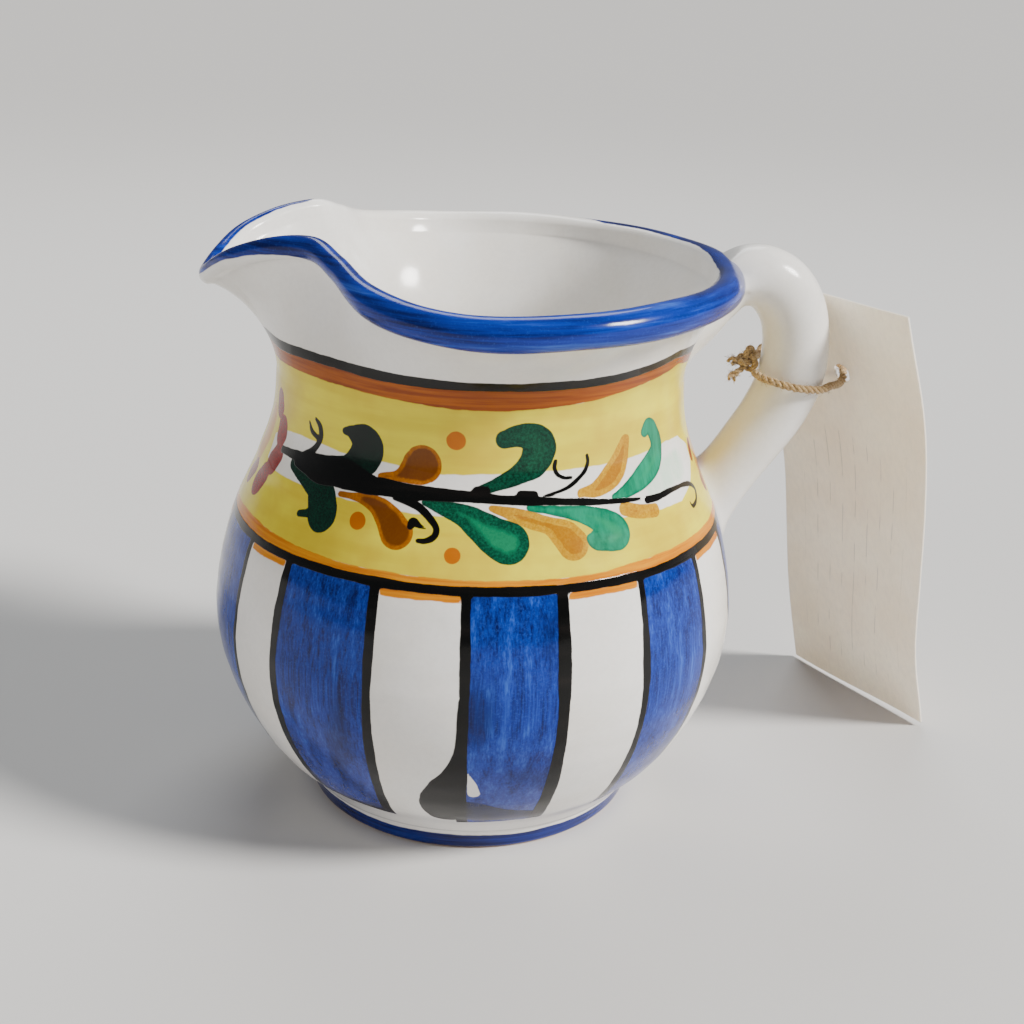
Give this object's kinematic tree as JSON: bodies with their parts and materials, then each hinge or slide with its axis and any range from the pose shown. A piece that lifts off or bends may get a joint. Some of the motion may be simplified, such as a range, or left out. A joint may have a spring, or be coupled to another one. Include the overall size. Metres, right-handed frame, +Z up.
{
  "type": "ceramic pitcher",
  "caption": "Round-bellied glazed ceramic pitcher with a pinched spout, rolled rim, looped handle and foot ring, and a paper tag tied to the handle with twine.",
  "frame": {"origin": "middle of the pitcher's box (body, foot ring and handle, without the twine and tag), on the plane that the foot stands on", "axes": "+Z up; the handle is towards +X and the spout towards -X; the body's upright axis is at x = -0.00775 m"},
  "size_m": [0.1759, 0.1182, 0.1276],
  "materials": {
    "painted_glaze": "glossy white tin glaze with brush-painted bands, vine and stripes",
    "foot_glaze": "glossy cobalt blue band, unglazed underneath",
    "white_glaze": "glossy white tin glaze",
    "jute_twine": "rough twisted natural fibre",
    "tag_paper": "matt off-white paper"
  },
  "bodies": {
    "pitcher": {"jug_body": "painted_glaze", "foot_ring": "foot_glaze", "handle": "white_glaze"},
    "twine": {"twine_loop": "jute_twine", "twine_knot": "jute_twine"},
    "tag": {"hang_tag": "tag_paper"}
  },
  "joints": [
    {"name": "twine_turn", "type": "hinge", "parent": "pitcher", "child": "twine", "pos_m": [0.06025, 0, 0.095], "axis": [0.1959, 0, 0.9806], "range_deg": [-30, 18]},
    {"name": "tag_swing", "type": "hinge", "parent": "twine", "child": "tag", "pos_m": [0.07486, 0.00789, 0.09371], "axis": [0.5221, -0.8526, -0.0214], "range_deg": [-22, 4]}
  ]
}
